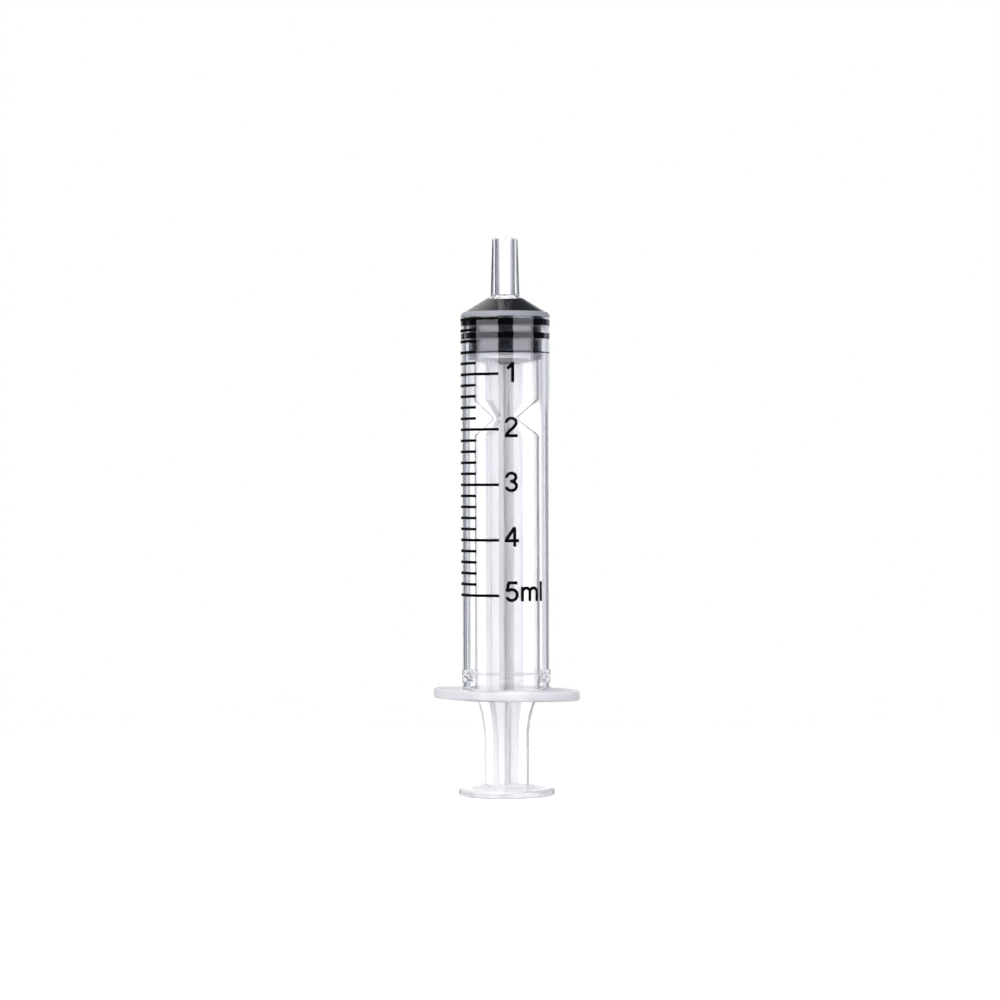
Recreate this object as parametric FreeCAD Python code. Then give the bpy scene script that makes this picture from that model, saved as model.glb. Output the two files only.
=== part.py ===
import FreeCAD, Part
import math
import os

# A 5 ml three-piece disposable syringe with a plain tapered nozzle, nozzle up, plunger pushed right in.
# Millimetres. +Z runs from the thumb rest to the nozzle. The origin is the centre of the thumb rest's
# underside. The finger flange is long in X, and the scale is printed on the side that faces -Y.

# Volume and scale
capacity_ml = 5.0
minor_step_ml = 0.2
marks_per_ml = 5
ink_thickness = 0.04
mark_height = 0.42
scale_start_deg = -65.0
minor_mark_end_deg = -13.0
major_mark_end_deg = 19.4

# Barrel
bore_radius = 6.1
barrel_wall = 0.85
cone_slope_deg = 31.0
shoulder_rounding = 0.8
nozzle_length = 9.05
nozzle_tip_radius = 1.98
nozzle_taper = 0.06
nozzle_channel_radius = 1.2
nozzle_tip_bevel = 0.35
nozzle_root_bevel = 0.3
finger_room = 15.0
flange_thickness = 1.6
flange_half_length = 12.4
flange_half_width = 7.25
flange_end_radius = 3.8
flange_edge_bevel = 0.25
flange_root_fillet = 0.25
scale_margin = 14.73
bead_reach = 0.35
bead_height = 1.65
bead_land = 0.5
bead_offset = 1.25
mouth_lead = 0.25

# Rubber stopper
ring_height = 0.92
ring_groove_height = 1.15
groove_depth = 0.42
waist_length = 2.05
waist_depth = 0.4
rear_rim_height = 0.2
ring_clearance = 0.03
nose_clearance = 0.05
nose_corner_cut = 0.4
nose_tip_radius = 2.3
ring_bevel = 0.12

# Plunger rod
disc_clearance = 0.17
disc_thickness = 0.95
disc_skirt_height = 0.75
disc_skirt_reach = 3.7
rib_thickness = 1.0
rib_clearance = 0.22
rib_root_rounding = 0.3
neck_radius = 2.2
neck_length = 1.8
barb_radius = 3.2
barb_land = 0.5
barb_length = 2.7
barb_tip_radius = 1.7
socket_clearance = 0.05
notch_core_radius = 2.0
notch_below_disc = 9.1
notch_upper_run = 2.85
notch_lower_run = 2.6
notch_corner_rounding = 0.6
notch_core_rounding = 0.35
grip_rib_reach = 3.8
flare_height = 6.7
flare_overlap = 0.9
thumb_beyond_flange = 0.32
thumb_thickness = 1.25
thumb_edge_bevel = 0.35
mound_radius = 6.2
mound_top_radius = 3.4
mound_height = 0.7
grip_ring_count = 2
grip_ring_pitch = 2.2
grip_ring_width = 0.6
grip_ring_depth = 0.2

# Sizes that follow
full_turn = 360.0
shortest_edge = 1e-6
slope = math.tan(math.radians(cone_slope_deg))
ml_length = 1000.0 / (math.pi * bore_radius ** 2)
barrel_radius = bore_radius + barrel_wall
flange_top = finger_room + flange_thickness
last_mark_z = flange_top + scale_margin
zero_z = last_mark_z + capacity_ml * ml_length

ring_radius = bore_radius - ring_clearance
nose_corner_z = zero_z + nose_corner_cut
nose_gap = nose_clearance / math.cos(math.radians(cone_slope_deg))
inner_cone_z = nose_corner_z + nose_gap + ring_clearance * slope
outer_cone_z = inner_cone_z + barrel_wall / math.cos(math.radians(cone_slope_deg))
shoulder_z = outer_cone_z - barrel_wall * slope
# The nozzle's wall widens towards its root by half the taper on each side.
nozzle_root_radius = nozzle_tip_radius + nozzle_length * nozzle_taper / 2.0
nozzle_root_z = outer_cone_z + (bore_radius - nozzle_root_radius) * slope
nozzle_tip_z = nozzle_root_z + nozzle_length
channel_root_z = inner_cone_z + (bore_radius - nozzle_channel_radius) * slope

stopper_rear_z = zero_z - 2.0 * ring_height - ring_groove_height - waist_length - rear_rim_height
bead_low_z = flange_top + bead_offset
bead_radius = bore_radius - bead_reach

disc_top_z = stopper_rear_z - socket_clearance
disc_bottom_z = disc_top_z - disc_thickness
disc_radius = bore_radius - disc_clearance
rib_reach = bead_radius - rib_clearance
notch_z = disc_bottom_z - notch_below_disc
flare_top_z = finger_room + flare_overlap
thumb_top_z = thumb_thickness + mound_height
# The thumb rest is a little wider than the flange is across, so that the two lie level in a tray.
thumb_radius = flange_half_width + thumb_beyond_flange


class Via:
    """The middle point of an arc that joins the corners before and after it."""

    def __init__(self, x, y):
        self.x = x
        self.y = y


def corner_cut(before, corner, after):
    """Where a rounded corner leaves its two straight sides, and the middle of its arc."""
    x, y, rounding = corner
    to_before = FreeCAD.Vector(before[0] - x, before[1] - y, 0).normalize()
    to_after = FreeCAD.Vector(after[0] - x, after[1] - y, 0).normalize()
    half_angle = to_before.getAngle(to_after) / 2.0
    setback = rounding / math.tan(half_angle)
    bisector = (to_before + to_after).normalize()
    point = FreeCAD.Vector(x, y, 0)
    middle = point + bisector * (rounding / math.sin(half_angle) - rounding)
    return point + to_before * setback, middle, point + to_after * setback


def outline_edges(corners):
    """Edges of a closed outline in the XY plane.

    A corner is (x, y) or (x, y, rounding). Corners are joined by straight lines, or by an arc
    where a Via stands between them.
    """
    points = [c for c in corners if not isinstance(c, Via)]
    leave = {}
    edges = []
    for i, corner in enumerate(points):
        if len(corner) == 3:
            cut = corner_cut(points[i - 1], corner, points[(i + 1) % len(points)])
            edges.append(Part.Arc(*cut).toShape())
            leave[id(corner)] = (cut[0], cut[2])
        else:
            point = FreeCAD.Vector(corner[0], corner[1], 0)
            leave[id(corner)] = (point, point)
    for i, corner in enumerate(corners):
        if isinstance(corner, Via):
            continue
        following = corners[(i + 1) % len(corners)]
        start = leave[id(corner)][1]
        if isinstance(following, Via):
            end = leave[id(corners[(i + 2) % len(corners)])][0]
            edges.append(Part.Arc(start, FreeCAD.Vector(following.x, following.y, 0), end).toShape())
        else:
            end = leave[id(following)][0]
            if start.distanceToPoint(end) > shortest_edge:
                edges.append(Part.LineSegment(start, end).toShape())
    return edges


def flat_face(corners):
    """A flat face in the XY plane with this outline."""
    return Part.Face(Part.Wire(Part.__sortEdges__(outline_edges(corners))))


def turned(corners):
    """A solid of revolution about Z from an outline of (radius, height) corners."""
    face = flat_face(corners)
    face.rotate(FreeCAD.Vector(0, 0, 0), FreeCAD.Vector(1, 0, 0), 90)
    return face.revolve(FreeCAD.Vector(0, 0, 0), FreeCAD.Vector(0, 0, 1), full_turn)


def joined(first, others):
    """One clean solid from pieces that overlap."""
    return first.fuse(others).removeSplitter()


def save(shape, node):
    """Check a solid and write it as the STEP file of its node."""
    if not shape.isValid():
        raise ValueError(node + " is not a valid solid")
    shape.exportStep("parts/" + node + ".step")
    print(node, "volume", round(shape.Volume, 2), "solids", len(shape.Solids), "faces", len(shape.Faces))


# Barrel: one moulding with the tube, the finger flange, the shoulder cone and the nozzle

def flange_plate():
    """The oval finger flange: two long side arcs that meet two end arcs without a corner."""
    end_x = flange_half_length - flange_end_radius
    side_radius = (end_x ** 2 + flange_half_width ** 2 - flange_end_radius ** 2)
    side_radius = side_radius / (2.0 * (flange_half_width - flange_end_radius))
    side_y = flange_half_width - side_radius
    # The arcs meet on the line through both centres.
    lean = math.atan2(-side_y, end_x)
    meet_x = end_x + flange_end_radius * math.cos(lean)
    meet_y = flange_end_radius * math.sin(lean)
    outline = [
        (meet_x, meet_y),
        Via(0, flange_half_width),
        (-meet_x, meet_y),
        Via(-flange_half_length, 0),
        (-meet_x, -meet_y),
        Via(0, -flange_half_width),
        (meet_x, -meet_y),
        Via(flange_half_length, 0),
    ]
    plate = flat_face(outline).extrude(FreeCAD.Vector(0, 0, flange_thickness))
    plate.translate(FreeCAD.Vector(0, 0, finger_room))
    rims = [e for e in plate.Edges if e.BoundBox.ZLength < flange_thickness / 2.0]
    return plate.makeChamfer(flange_edge_bevel, rims)


def barrel_outside():
    """Tube, shoulder cone and tapered nozzle as one turned shape without its bore."""
    cone_top = (nozzle_root_radius + nozzle_root_bevel, nozzle_root_z - nozzle_root_bevel * slope)
    # The rounded shoulder is turned as two short cones through the ends and the middle of its arc.
    shoulder = corner_cut((barrel_radius, flange_top), (barrel_radius, shoulder_z, shoulder_rounding), cone_top)
    return turned([
        (0, finger_room),
        (barrel_radius, finger_room),
        (barrel_radius, finger_room + flange_edge_bevel),
        (barrel_radius + flange_root_fillet, finger_room + flange_edge_bevel),
        (barrel_radius + flange_root_fillet, flange_top),
        (barrel_radius, flange_top + flange_root_fillet),
        *[(point.x, point.y) for point in shoulder],
        cone_top,
        (nozzle_root_radius - nozzle_root_bevel * nozzle_taper / 2.0, nozzle_root_z + nozzle_root_bevel),
        (nozzle_tip_radius, nozzle_tip_z - nozzle_tip_bevel),
        (nozzle_tip_radius - nozzle_tip_bevel, nozzle_tip_z),
        (0, nozzle_tip_z),
    ])


def barrel_inside():
    """The bore with its lead-in and retaining bead, the inner cone and the nozzle's channel."""
    beyond = flange_thickness
    bead_slope_height = (bead_height - bead_land) / 2.0
    return turned([
        (0, finger_room - beyond),
        (bore_radius + mouth_lead, finger_room - beyond),
        (bore_radius + mouth_lead, finger_room),
        (bore_radius, finger_room + mouth_lead),
        (bore_radius, bead_low_z),
        (bead_radius, bead_low_z + bead_slope_height),
        (bead_radius, bead_low_z + bead_slope_height + bead_land),
        (bore_radius, bead_low_z + bead_height),
        (bore_radius, inner_cone_z),
        (nozzle_channel_radius, channel_root_z),
        (nozzle_channel_radius, nozzle_tip_z + beyond),
        (0, nozzle_tip_z + beyond),
    ])


def make_barrel():
    return joined(barrel_outside(), [flange_plate()]).cut(barrel_inside())


# Graduation marks: thin ink lines printed round the front of the barrel

def make_mark(height_z, end_deg):
    """One line of ink round the barrel, from the scale's left edge to end_deg."""
    low = height_z - mark_height / 2.0
    strip = Part.makePolygon([
        FreeCAD.Vector(barrel_radius, 0, low),
        FreeCAD.Vector(barrel_radius + ink_thickness, 0, low),
        FreeCAD.Vector(barrel_radius + ink_thickness, 0, low + mark_height),
        FreeCAD.Vector(barrel_radius, 0, low + mark_height),
        FreeCAD.Vector(barrel_radius, 0, low),
    ])
    up = FreeCAD.Vector(0, 0, 1)
    origin = FreeCAD.Vector(0, 0, 0)
    line = Part.Face(strip).revolve(origin, up, end_deg - scale_start_deg)
    # Angles count from -Y towards +X, and the strip starts on +X.
    line.rotate(origin, up, scale_start_deg - 90.0)
    return line


def make_graduation_marks():
    count = int(round(capacity_ml / minor_step_ml))
    marks = []
    for i in range(count + 1):
        end_deg = major_mark_end_deg if i % marks_per_ml == 0 else minor_mark_end_deg
        marks.append(make_mark(zero_z - i * minor_step_ml * ml_length, end_deg))
    return Part.makeCompound(marks)


# Plunger rod: one moulding with the thumb rest, four ribs, the support disc and the barbed head

def head_outline(clearance):
    """Outline of the barbed head, grown by a clearance, from the rubber's rear face up to its tip."""
    barb_low_z = disc_top_z + neck_length
    return [
        (neck_radius + clearance, barb_low_z - clearance),
        (barb_radius + clearance, barb_low_z - clearance),
        (barb_radius + clearance, barb_low_z + barb_land),
        (barb_tip_radius + clearance, barb_low_z + barb_length + clearance),
        (0, barb_low_z + barb_length + clearance),
    ]


def rod_envelope():
    """The turned shape that the four ribs are cut to: grip, flare, long ribs and the break-off notch."""
    flare_bottom_z = flare_top_z - flare_height
    widening = rib_reach - grip_rib_reach
    flare_radius = (flare_height ** 2 + widening ** 2) / (2.0 * widening)
    half_sweep = math.asin(flare_height / flare_radius) / 2.0
    return turned([
        (0, thumb_thickness / 2.0),
        (grip_rib_reach, thumb_thickness / 2.0),
        (grip_rib_reach, flare_bottom_z),
        Via(grip_rib_reach + flare_radius * (1 - math.cos(half_sweep)),
            flare_bottom_z + flare_radius * math.sin(half_sweep)),
        (rib_reach, flare_top_z),
        (rib_reach, notch_z - notch_lower_run, notch_corner_rounding),
        (notch_core_radius, notch_z, notch_core_rounding),
        (rib_reach, notch_z + notch_upper_run, notch_corner_rounding),
        (rib_reach, disc_bottom_z + disc_thickness / 2.0),
        (0, disc_bottom_z + disc_thickness / 2.0),
    ])


def rib_cross():
    """Four ribs in a cross with rounded roots, as tall as the rod."""
    half = rib_thickness / 2.0
    outline = []
    for x, y in ((1, 1), (-1, 1), (-1, -1), (1, -1)):
        wide = (x * barrel_radius, y * half)
        root = (x * half, y * half, rib_root_rounding)
        tall = (x * half, y * barrel_radius)
        outline += [wide, root, tall] if x * y > 0 else [tall, root, wide]
    return flat_face(outline).extrude(FreeCAD.Vector(0, 0, disc_top_z))


def thumb_rest():
    """The round thumb rest with a low mound on top and shallow grip rings underneath."""
    outline = [(0, 0)]
    for i in range(grip_ring_count):
        ring = (i + 1) * grip_ring_pitch
        outline.append((ring - grip_ring_width / 2.0, 0))
        outline.append((ring, grip_ring_depth))
        outline.append((ring + grip_ring_width / 2.0, 0))
    outline += [
        (thumb_radius - thumb_edge_bevel, 0),
        (thumb_radius, thumb_edge_bevel),
        (thumb_radius, thumb_thickness - thumb_edge_bevel),
        (thumb_radius - thumb_edge_bevel, thumb_thickness),
        (mound_radius, thumb_thickness),
        (mound_top_radius, thumb_top_z),
        (0, thumb_top_z),
    ]
    return turned(outline)


def support_disc():
    """The disc that pushes the rubber, with a conical skirt that runs into the ribs."""
    return turned([
        (0, disc_bottom_z - disc_skirt_height),
        (disc_radius - disc_skirt_reach, disc_bottom_z - disc_skirt_height),
        (disc_radius, disc_bottom_z),
        (disc_radius, disc_top_z),
        (0, disc_top_z),
    ])


def barbed_head():
    below = disc_top_z - disc_thickness / 2.0
    return turned([(0, below), (neck_radius, below)] + head_outline(0.0))


def make_plunger_rod():
    ribs = rib_cross().common(rod_envelope())
    return joined(thumb_rest(), [ribs, support_disc(), barbed_head()])


# Rubber stopper: two sealing rings, a waist, a conical nose and a socket for the barbed head

def make_rubber_stopper():
    waist_low_z = stopper_rear_z + rear_rim_height
    ring_two_low_z = waist_low_z + waist_length
    groove_low_z = ring_two_low_z + ring_height
    ring_one_low_z = groove_low_z + ring_groove_height
    nose_tip_z = nose_corner_z + (ring_radius - nose_tip_radius) * slope
    # The corner is cut by equal lengths along the land and along the cone.
    cone_lean = math.radians(cone_slope_deg)
    cut_radius = ring_radius - nose_corner_cut * math.cos(cone_lean)
    cut_z = nose_corner_z + nose_corner_cut * math.sin(cone_lean)
    body = turned([
        (0, stopper_rear_z),
        (ring_radius - ring_bevel, stopper_rear_z),
        (ring_radius, stopper_rear_z + ring_bevel),
        (ring_radius, waist_low_z),
        (ring_radius - waist_depth, waist_low_z + waist_depth / 2.0),
        (ring_radius - waist_depth, ring_two_low_z - waist_depth / 2.0),
        (ring_radius, ring_two_low_z),
        (ring_radius, groove_low_z - ring_bevel),
        (ring_radius - groove_depth, groove_low_z + ring_bevel),
        (ring_radius - groove_depth, ring_one_low_z - ring_bevel),
        (ring_radius, ring_one_low_z + ring_bevel),
        (ring_radius, zero_z),
        (cut_radius, cut_z),
        (nose_tip_radius, nose_tip_z),
        (0, nose_tip_z),
    ])
    below = stopper_rear_z - disc_thickness
    mouth = neck_radius + socket_clearance
    socket = turned([(0, below), (mouth, below)] + head_outline(socket_clearance))
    return body.cut(socket)


os.makedirs("parts", exist_ok=True)
save(make_barrel(), "barrel")
save(make_graduation_marks(), "graduation_marks")
save(make_plunger_rod(), "plunger_rod")
save(make_rubber_stopper(), "rubber_stopper")
print("overall height", round(nozzle_tip_z, 3), "zero mark at", round(zero_z, 3))
print("plunger travel to the bead", round(disc_bottom_z - bead_low_z - bead_height, 3))
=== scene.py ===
# %% [markdown]
# # A 5 ml syringe in clear plastic
#
# The frame is a CAD model of a three-piece disposable syringe, packed with its joints. It stands on its
# thumb rest, nozzle up, plunger pushed in. This lesson puts finer meshes and real finishes on it: a clear
# barrel, a milky plunger rod, a black rubber stopper and a printed scale.
#
# The frame comes first, because every new piece takes its place and its motion from it.

# %% Load the imported model
import math
import bmesh
import bpy
import numpy as np
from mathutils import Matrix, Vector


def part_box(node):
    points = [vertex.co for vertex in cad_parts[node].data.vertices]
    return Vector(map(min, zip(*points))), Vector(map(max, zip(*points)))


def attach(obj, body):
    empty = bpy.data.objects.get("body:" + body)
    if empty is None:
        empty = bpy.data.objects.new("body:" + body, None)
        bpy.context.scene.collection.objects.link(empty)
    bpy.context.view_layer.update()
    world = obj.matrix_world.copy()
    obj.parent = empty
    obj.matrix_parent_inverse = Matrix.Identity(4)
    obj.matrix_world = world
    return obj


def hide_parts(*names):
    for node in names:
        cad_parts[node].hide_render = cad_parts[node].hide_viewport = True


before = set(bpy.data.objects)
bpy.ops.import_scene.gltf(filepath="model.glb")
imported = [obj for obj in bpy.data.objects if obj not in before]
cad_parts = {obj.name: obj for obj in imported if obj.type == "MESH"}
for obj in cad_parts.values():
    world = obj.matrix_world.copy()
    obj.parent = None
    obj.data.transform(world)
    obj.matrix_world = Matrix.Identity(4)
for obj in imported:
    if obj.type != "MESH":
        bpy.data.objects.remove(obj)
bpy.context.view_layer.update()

print("nodes:", ", ".join(sorted(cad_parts)))

# %% [markdown]
# ## Sizes
#
# Blender works in metres, a syringe is drawn in millimetres. All sizes below are millimetres, and one
# function turns them to metres when a mesh is made. What the frame can tell is read from its boxes. The
# rest is the short list of sizes that a moulder would put on the drawing.

# %% Sizes from the frame, and the ones inside it
per_metre = 1000.0


def span(node):
    """Lowest and highest corner of a CAD node, in millimetres."""
    low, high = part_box(node)
    return np.array(low) * per_metre, np.array(high) * per_metre


barrel_low, barrel_high = span("barrel")
marks_low, marks_high = span("graduation_marks")
thumb_radius = span("plunger_rod")[1][0]
stopper_rear_z = span("rubber_stopper")[0][2]

underside_z = barrel_low[2]
nozzle_tip_z = barrel_high[2]
flange_half_length = barrel_high[0]
flange_half_width = barrel_high[1]

bore_radius = 6.1
barrel_wall = 0.85
barrel_radius = bore_radius + barrel_wall
flange_thickness = 1.6
flange_top_z = underside_z + flange_thickness
cone_slope = math.tan(math.radians(31.0))
nozzle_length = 9.05
nozzle_tip_radius = 1.98
nozzle_taper = 0.03
nozzle_root_radius = nozzle_tip_radius + nozzle_length * nozzle_taper
channel_radius = 1.2
nozzle_root_z = nozzle_tip_z - nozzle_length
outer_cone_z = nozzle_root_z - (bore_radius - nozzle_root_radius) * cone_slope
shoulder_z = outer_cone_z - barrel_wall * cone_slope
inner_cone_z = outer_cone_z - barrel_wall / math.cos(math.atan(cone_slope))
channel_root_z = inner_cone_z + (bore_radius - channel_radius) * cone_slope
print("barrel from", round(float(underside_z), 2), "to", round(float(nozzle_tip_z), 2), "mm")

# %% [markdown]
# ## Camera
#
# The photograph looks at the syringe from its own height, with a long lens, from about 28 degrees round
# to the right of the scale's side. The object fills little of the frame, so the lens follows from how
# many millimetres one pixel covers at the syringe's axis. The small shift puts the axis and the horizon
# where the photograph has them, and the camera leans by a fifth of a degree, as it did there.

# %% Camera at the photograph's angle
picture_pixels = 1000.0
mm_per_pixel = 0.156
camera_azimuth = math.radians(28.0)
camera_distance = 530.0
camera_height = 48.4
horizon_row = 485.0
axis_column = 505.7
roll = 0.0034
sensor_width = 36.0

scene = bpy.context.scene
lens_data = bpy.data.cameras.new("camera")
lens_data.sensor_width = sensor_width
lens_data.lens = sensor_width * camera_distance / (picture_pixels * mm_per_pixel)
lens_data.shift_x = (picture_pixels / 2 - axis_column) / picture_pixels
lens_data.shift_y = (horizon_row - picture_pixels / 2) / picture_pixels
lens_data.clip_start = 0.05
lens_data.clip_end = 20.0
camera = bpy.data.objects.new("camera", lens_data)
to_camera = np.array([math.sin(camera_azimuth), -math.cos(camera_azimuth)])
camera.location = (*(to_camera * camera_distance / per_metre), camera_height / per_metre)
camera.rotation_euler = (math.pi / 2, roll, camera_azimuth)
scene.collection.objects.link(camera)
scene.camera = camera
scene.view_settings.view_transform = "Standard"
print("lens", round(lens_data.lens, 1), "mm")

# %% [markdown]
# ## Studio light
#
# Clear plastic has hardly any colour of its own: it shows its surroundings. Two tall softboxes stand left
# and right of the camera. Their reflections are the two bright bands down the barrel and on the black
# rubber, and the dark room between them is the dark band in the middle. Behind the syringe is a bright
# sheet with a dim strip at each side, which draws the grey lines down the edges of the barrel.
#
# Two narrow panels stand close behind the syringe, one at each side. They light the edges of the barrel,
# and are low enough for the nozzle to look over them. A third softbox hangs over the syringe and lights
# the faces that look up.

# %% Softboxes
softbox_colour = (0.98, 0.99, 1.08)
softbox_radiance = 2.8
top_radiance = 1.3
softbox_distance = 1.0
softbox_height = 1.5
softbox_middle_z = 0.35
softbox_edges = {"left": (-80.0, -19.0), "right": (21.5, 77.0)}
panel_headings = {"left": -126.0, "right": 126.0}
panel_distance = 0.15
panel_size = (0.034, 0.079)
panel_radiance = 1.1
top_edges = (40.0, 100.0)
top_width = 1.3


def add_softbox(name, location, rotation, width, height, radiance):
    """A rectangular light; its power is radiance times pi times area."""
    data = bpy.data.lights.new(name, "AREA")
    data.shape = "RECTANGLE"
    data.color = softbox_colour
    data.size = width
    data.size_y = height
    data.energy = radiance * math.pi * width * height
    light = bpy.data.objects.new(name, data)
    light.location = location
    light.rotation_euler = rotation
    light.visible_camera = False
    scene.collection.objects.link(light)
    print(name, round(width, 2), "m wide,", round(height, 2), "m high")


def between(edges):
    """Middle of two directions given in degrees, and the width that spans them at the softbox distance."""
    middle = math.radians(sum(edges) / 2)
    half_angle = math.radians(abs(edges[1] - edges[0]) / 2)
    return middle, 2 * softbox_distance * math.tan(half_angle)


def stand(name, heading, distance, middle_z, size, radiance):
    """An upright softbox that faces the syringe, turned round it from the camera by a heading."""
    turn = camera_azimuth + heading
    location = (distance * math.sin(turn), -distance * math.cos(turn), middle_z)
    add_softbox(name, location, (math.pi / 2, 0, turn), *size, radiance)


for side, edges in softbox_edges.items():
    middle, width = between(edges)
    size = (width, softbox_height)
    stand("softbox_" + side, middle, softbox_distance, softbox_middle_z, size, softbox_radiance)

for side, degrees in panel_headings.items():
    heading = math.radians(degrees)
    stand("panel_" + side, heading, panel_distance, panel_size[1] / 2, panel_size, panel_radiance)

# The top light spans a range of heights, counted in degrees up from the camera and over the syringe.
middle, top_length = between(top_edges)
ahead = softbox_distance * math.cos(middle)
location = (*(to_camera * ahead), softbox_distance * math.sin(middle))
rotation = (math.pi / 2 - middle, 0, camera_azimuth)
add_softbox("softbox_top", location, rotation, top_width, top_length, top_radiance)

# %% [markdown]
# ## Shader nodes
#
# The room and every finish are small trees of shader nodes. One function adds a node, sets its values and
# links its inputs, so that a tree reads like a list. A second one makes a grey ramp.

# %% Node helpers
def add_node(tree, kind, inputs=None, **settings):
    """Adds a node with its settings. An input is a value, or the socket that it is linked from."""
    node = tree.nodes.new(kind)
    for name, value in settings.items():
        setattr(node, name, value)
    for name, value in (inputs or {}).items():
        if isinstance(value, bpy.types.NodeSocket):
            tree.links.new(value, node.inputs[name])
        else:
            node.inputs[name].default_value = value
    return node


def add_ramp(tree, source, stops):
    """A colour ramp from a list of (position, grey) stops."""
    node = add_node(tree, "ShaderNodeValToRGB", {"Fac": source})
    elements = node.color_ramp.elements
    for position, _ in stops[2:]:
        elements.new(position)
    for element, (position, grey) in zip(elements, stops):
        element.position = position
        element.color = (grey, grey, grey, 1)
    return node.outputs["Color"]


# %% [markdown]
# ## The room
#
# The rest of the studio is a function of direction in the world shader. Level with the syringe the
# brightness goes by the way round, as a ramp. Below it lies the lit table. Above it the sheet fades more
# softly, and the ceiling over that is lit from the left. The lens itself sees plain white.

# %% Room in the world shader
# Radiance of the walls, by degrees round from the backdrop's middle, to the right.
wall_stops = [
    (-180, 0.05), (-50, 0.05), (-46, 0.3), (-42, 0.2), (-36, 0.35), (-31, 0.05), (-23, 0.04), (-18, 0.6),
    (-14, 1.35), (14, 1.45), (18, 0.95), (22, 0.48), (26, 0.16), (30, 0.1), (35, 0.22), (42, 0.4),
    (46, 0.4), (50, 0.05), (180, 0.05),
]
# Higher up, where the nozzle looks, the sheet fades more softly.
upper_stops = [
    (-180, 0.05), (-80, 0.05), (-66, 0.4), (-56, 0.12), (-50, 0.02), (-37, 0.06), (-30, 0.5), (-23, 0.42),
    (-16, 0.78), (-8, 1.0), (0, 1.25), (8, 1.02), (14, 0.8), (22, 0.5), (30, 0.47), (40, 0.62), (50, 0.05),
    (60, 0.25), (70, 0.05), (180, 0.05),
]
table_radiance = 0.85
ceiling_left = 1.25
ceiling_right = 0.18
ceiling_span = (-0.28, 0.0)
# Where one zone of the room gives way to the next, as the height of a direction: 1 is straight up.
table_edge = (-0.14, -0.07)
upper_edge = (0.02, 0.026)
ceiling_edge = (0.3, 0.55)
# Dim light is cooler than bright light.
cool_tint = (0.9, 0.97, 1.2, 1)
cool_span = (0.1, 0.9)

world = bpy.data.worlds.new("studio")
world.use_nodes = True
scene.world = world
room = world.node_tree
room.nodes.clear()
direction = add_node(room, "ShaderNodeTexCoord").outputs["Generated"]
away = (-to_camera[0], -to_camera[1], 0)
rightwards = (-to_camera[1], to_camera[0], 0)
depth = add_node(room, "ShaderNodeVectorMath", {0: direction, 1: away}, operation="DOT_PRODUCT")
across = add_node(room, "ShaderNodeVectorMath", {0: direction, 1: rightwards}, operation="DOT_PRODUCT")
way_round = add_node(room, "ShaderNodeMath", {
    0: across.outputs["Value"],
    1: depth.outputs["Value"],
}, operation="ARCTAN2")
turn = add_node(room, "ShaderNodeMapRange", {
    "Value": way_round.outputs["Value"],
    "From Min": -math.pi,
    "From Max": math.pi,
})
height = add_node(room, "ShaderNodeSeparateXYZ", {"Vector": direction})


def rising(low, high):
    """A soft step from 0 to 1 between two heights of the direction, where 1 is straight up."""
    step = add_node(room, "ShaderNodeMapRange", {
        "Value": height.outputs["Z"], "From Min": low, "From Max": high,
    }, interpolation_type="SMOOTHSTEP")
    return step.outputs["Result"]


def mixed(factor, first, second, blend="MIX"):
    """Two colours blended by a factor."""
    inputs = {"Factor": factor, 6: first, 7: second}
    node = add_node(room, "ShaderNodeMix", inputs, data_type="RGBA", blend_type=blend)
    return node.outputs[2]


def around(stops):
    """A ramp over all directions, from stops in degrees."""
    positions = [((degrees + 180) / 360, grey) for degrees, grey in stops]
    return add_ramp(room, turn.outputs["Result"], positions)


walls = around(wall_stops)
sides = mixed(rising(*upper_edge), walls, around(upper_stops))
table = (table_radiance, table_radiance, table_radiance, 1)
sides = mixed(rising(*table_edge), table, sides)
ceiling = add_node(room, "ShaderNodeMapRange", {
    "Value": across.outputs["Value"],
    "From Min": ceiling_span[0],
    "From Max": ceiling_span[1],
    "To Min": ceiling_left,
    "To Max": ceiling_right,
}, interpolation_type="SMOOTHSTEP")
dome = mixed(rising(*ceiling_edge), sides, ceiling.outputs["Result"])
bright = add_node(room, "ShaderNodeRGBToBW", {"Color": dome})
neutral = add_node(room, "ShaderNodeMapRange", {
    "Value": bright.outputs["Val"],
    "From Min": cool_span[0],
    "From Max": cool_span[1],
})
tinted = mixed(neutral.outputs["Result"], mixed(1.0, dome, cool_tint, "MULTIPLY"), dome)
seen = add_node(room, "ShaderNodeBackground", {"Color": tinted})
plain = add_node(room, "ShaderNodeBackground", {"Color": (1, 1, 1, 1)})
ray = add_node(room, "ShaderNodeLightPath")
choice = add_node(room, "ShaderNodeMixShader", {
    0: ray.outputs["Is Camera Ray"],
    1: seen.outputs["Background"],
    2: plain.outputs["Background"],
})
add_node(room, "ShaderNodeOutputWorld", {"Surface": choice.outputs["Shader"]})
print("room of", len(room.nodes), "nodes")

# %% [markdown]
# ## Making meshes
#
# A syringe is made of turned shapes, so three helpers do most of the work. One rounds the corners of a
# profile. One adds points along its straight stretches, which keeps smooth shading flat there. One carries
# the profile round the axis as a grid of points.

# %% Profile and mesh helpers
arc_step = math.radians(11.0)
guard = 0.06
longest_stretch = 2.5
turn_count = 288
print("turned pieces have", turn_count, "points round the axis")


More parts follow.
